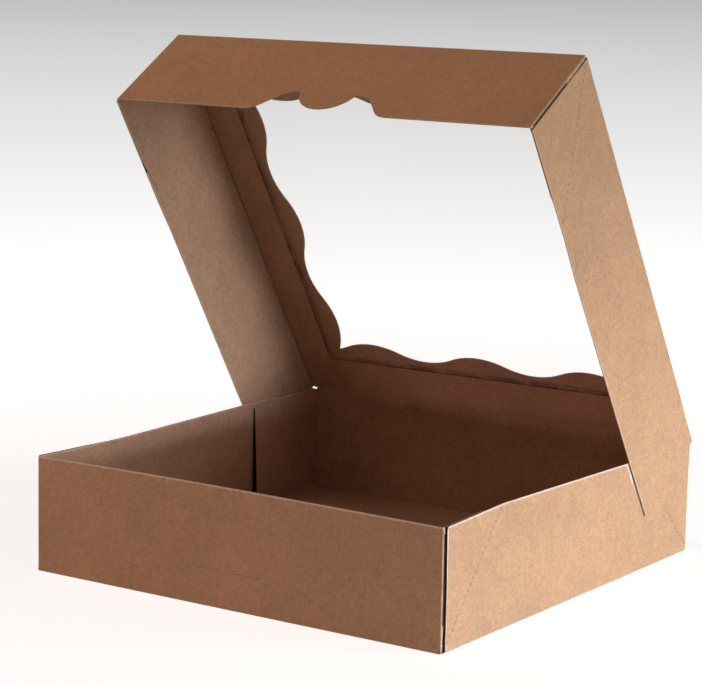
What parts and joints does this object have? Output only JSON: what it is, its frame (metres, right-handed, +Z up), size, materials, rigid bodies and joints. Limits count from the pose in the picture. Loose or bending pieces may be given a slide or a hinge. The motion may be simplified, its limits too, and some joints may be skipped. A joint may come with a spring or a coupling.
{
  "type": "window bakery box",
  "caption": "Square kraft board bakery box with a creased lid, a scalloped clear window, a thumb cut-out with a lock tongue and glued fold-flat corners.",
  "frame": {"origin": "middle of the tray's underside, on the table", "axes": "+Z up, the front wall faces -Y, the lid's crease runs along X at the top of the back wall at +Y; at rest the lid stands open as in the picture"},
  "size_m": [0.2528, 0.25, 0.2739],
  "materials": {
    "kraft_tray": "uncoated brown kraft board with fine fibre flecks and pale cut edges",
    "kraft_lid": "uncoated brown kraft board with fine fibre flecks and pale cut edges",
    "clear_film": "thin clear polyester film, glossy"
  },
  "bodies": {
    "tray": {"tray": "kraft_tray"},
    "lid": {"lid": "kraft_lid", "window_film": "clear_film"}
  },
  "joints": [
    {"name": "lid_hinge", "type": "hinge", "parent": "tray", "child": "lid", "pos_m": [0, 0.12477, 0.06132], "axis": [-1, 0, 0], "range_deg": [-58, 122]}
  ]
}
